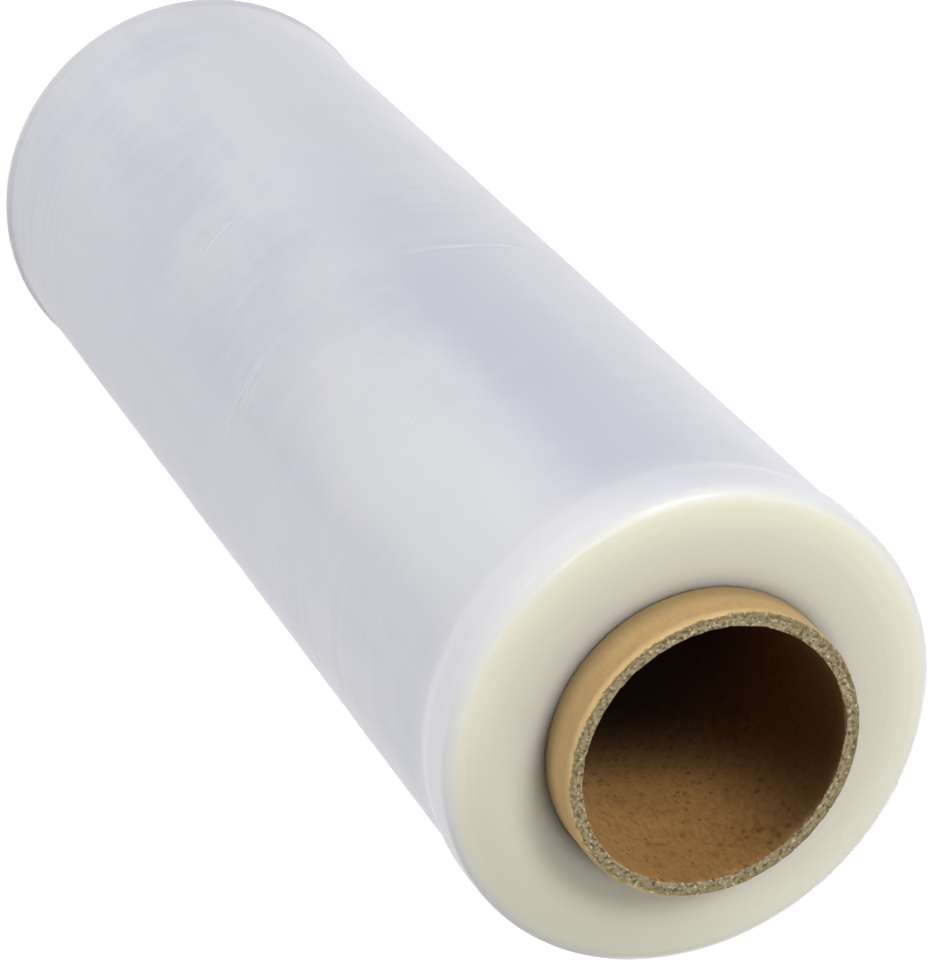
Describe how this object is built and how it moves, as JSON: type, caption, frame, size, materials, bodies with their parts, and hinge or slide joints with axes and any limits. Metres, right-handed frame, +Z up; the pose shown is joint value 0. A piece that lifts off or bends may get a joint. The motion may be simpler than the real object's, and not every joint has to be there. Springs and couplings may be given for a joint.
{
  "type": "stretch wrap roll",
  "caption": "Roll of clear stretch film wound on a cardboard core that stands out at both ends, for wrapping boxes and pallets.",
  "frame": {"origin": "centre of the core's bore in the plane of the ring that the roll stands on", "axes": "+Z up the bore, the axis that the film is wound about; X and Y are alike"},
  "size_m": [0.1426, 0.1426, 0.458],
  "materials": {
    "cardboard": "smooth kraft outside, fibrous grey-brown where it is cut",
    "film": "clear film, milky in the roll, with a soft gloss"
  },
  "bodies": {
    "root": {"cardboard_core": "cardboard", "film_roll": "film"}
  },
  "joints": []
}
